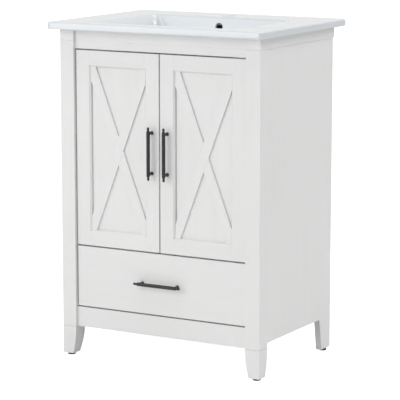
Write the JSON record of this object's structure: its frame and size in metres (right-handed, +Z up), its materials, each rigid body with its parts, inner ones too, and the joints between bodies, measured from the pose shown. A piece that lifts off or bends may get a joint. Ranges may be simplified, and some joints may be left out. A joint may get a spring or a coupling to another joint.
{
  "type": "bathroom vanity cabinet",
  "caption": "White bathroom vanity: ceramic basin top on a cabinet with cross-braced doors, a drawer, bar pulls and tapered feet.",
  "frame": {"origin": "on the floor, under the middle of the top", "axes": "+Z up, +X to the right seen from the front, the doors face -Y"},
  "size_m": [0.615, 0.465, 0.865],
  "materials": {
    "painted_wood": "white painted, faint grain",
    "white_board": "white laminated board",
    "ceramic": "white glaze",
    "dark_metal": "satin black",
    "steel": "zinc plated",
    "nickel": "nickel plated",
    "dark_plastic": "moulded",
    "white_plastic": "moulded",
    "beech": "bare, fluted"
  },
  "bodies": {
    "cabinet": {"back_panel": "white_board", "back_top_rail": "painted_wood", "bottom_panel": "white_board", "cabinet_shelf": "white_board", "carcass_dowels": "beech", "corner_braces": "white_plastic", "foot_glides": "dark_plastic", "front_bottom_rail": "painted_wood", "front_leg_left": "painted_wood", "front_leg_right": "painted_wood", "front_post_left": "painted_wood", "front_post_right": "painted_wood", "front_top_rail": "painted_wood", "hinge_arms": "nickel", "hinge_rail_left": "white_board", "hinge_rail_right": "white_board", "leg_dowels": "beech", "side_panel_left": "painted_wood", "side_panel_right": "painted_wood", "side_top_rail_left": "painted_wood", "side_top_rail_right": "painted_wood", "slide_cleats": "white_board", "slide_outer_members": "steel", "vanity_top": "ceramic"},
    "left_door": {"left_door_brace_long": "painted_wood", "left_door_brace_lower": "painted_wood", "left_door_brace_upper": "painted_wood", "left_door_hinge_cups": "nickel", "left_door_panel": "painted_wood", "left_door_pull_bar": "dark_metal", "left_door_pull_posts": "dark_metal", "left_door_pull_screws": "steel", "left_door_rail_bottom": "painted_wood", "left_door_rail_top": "painted_wood", "left_door_stile_inner": "painted_wood", "left_door_stile_outer": "painted_wood"},
    "right_door": {"right_door_brace_long": "painted_wood", "right_door_brace_lower": "painted_wood", "right_door_brace_upper": "painted_wood", "right_door_hinge_cups": "nickel", "right_door_panel": "painted_wood", "right_door_pull_bar": "dark_metal", "right_door_pull_posts": "dark_metal", "right_door_pull_screws": "steel", "right_door_rail_bottom": "painted_wood", "right_door_rail_top": "painted_wood", "right_door_stile_inner": "painted_wood", "right_door_stile_outer": "painted_wood"},
    "slide_middles": {"slide_middle_members": "steel"},
    "drawer": {"drawer_back": "white_board", "drawer_bottom": "white_board", "drawer_front": "painted_wood", "drawer_pull_bar": "dark_metal", "drawer_pull_posts": "dark_metal", "drawer_pull_screws": "steel", "drawer_side_left": "white_board", "drawer_side_right": "white_board", "slide_inner_members": "steel"}
  },
  "joints": [
    {"name": "left_door_hinge", "type": "hinge", "parent": "cabinet", "child": "left_door", "pos_m": [-0.243, -0.1945, 0.54425], "axis": [0, 0, -1], "range_deg": [0, 105]},
    {"name": "right_door_hinge", "type": "hinge", "parent": "cabinet", "child": "right_door", "pos_m": [0.243, -0.1945, 0.54425], "axis": [0, 0, 1], "range_deg": [0, 105]},
    {"name": "drawer_slide", "type": "slide", "parent": "cabinet", "child": "drawer", "axis": [0, -1, 0], "range_m": [0, 0.3]},
    {"name": "slide_middle_travel", "type": "slide", "parent": "cabinet", "child": "slide_middles", "axis": [0, -1, 0], "range_m": [0, 0.15]}
  ],
  "couplings": [
    {"joint": "slide_middle_travel", "follows": "drawer_slide", "ratio": 0.5}
  ]
}
